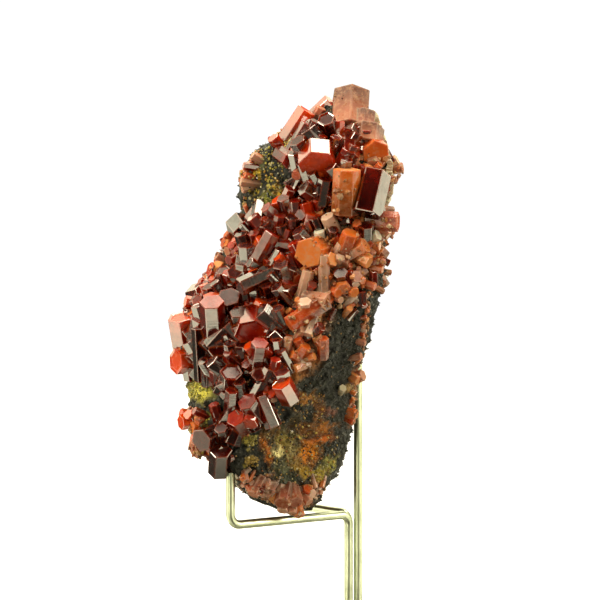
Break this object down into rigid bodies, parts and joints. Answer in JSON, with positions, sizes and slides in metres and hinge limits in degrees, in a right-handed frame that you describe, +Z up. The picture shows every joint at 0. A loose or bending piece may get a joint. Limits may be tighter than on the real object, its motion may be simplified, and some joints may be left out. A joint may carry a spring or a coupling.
{
  "type": "vanadinite specimen on wire stand",
  "caption": "Cluster of red hexagonal vanadinite crystals on black manganese matrix, held upright in an easel of bent round wire on a small base plate.",
  "frame": {"origin": "middle of the base plate's underside, on the surface it stands on", "axes": "+X to the right as seen from the crystal-coated front, +Y away from that viewer, +Z up along the wire posts"},
  "size_m": [0.07, 0.05, 0.1268],
  "materials": {
    "mineral": "glossy red crystals on a rough black matrix with ochre stains",
    "wire": "bright plated",
    "plate": "brushed"
  },
  "bodies": {
    "root": {"specimen": "mineral", "near_arm": "wire", "far_arm": "wire", "back_rod": "wire", "base_plate": "plate"}
  },
  "joints": []
}
